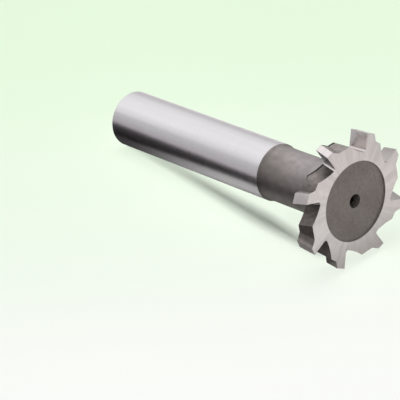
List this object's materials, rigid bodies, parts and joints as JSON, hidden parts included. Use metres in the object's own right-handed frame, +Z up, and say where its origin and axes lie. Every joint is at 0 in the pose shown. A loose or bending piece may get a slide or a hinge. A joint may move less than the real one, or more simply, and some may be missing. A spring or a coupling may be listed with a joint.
{
  "type": "t slot cutter",
  "caption": "One-piece milling cutter for t slots: plain round shank, slimmer neck and a thin toothed disc with staggered side and edge cutting teeth.",
  "frame": {"origin": "middle of the underside of the part's box, on the surface that the tool lies on", "axes": "+X runs along the tool towards the toothed disc, +Z is up; the tool's own axis rises towards the disc by 6.30 degrees"},
  "size_m": [0.0928, 0.0348, 0.0347],
  "materials": {
    "high_speed_steel": "ground bright on the shank, cutting face and lands; dark turned and heat-treated surface on the neck and in the recess"
  },
  "bodies": {
    "root": {"t_slot_cutter": "high_speed_steel"}
  },
  "joints": []
}
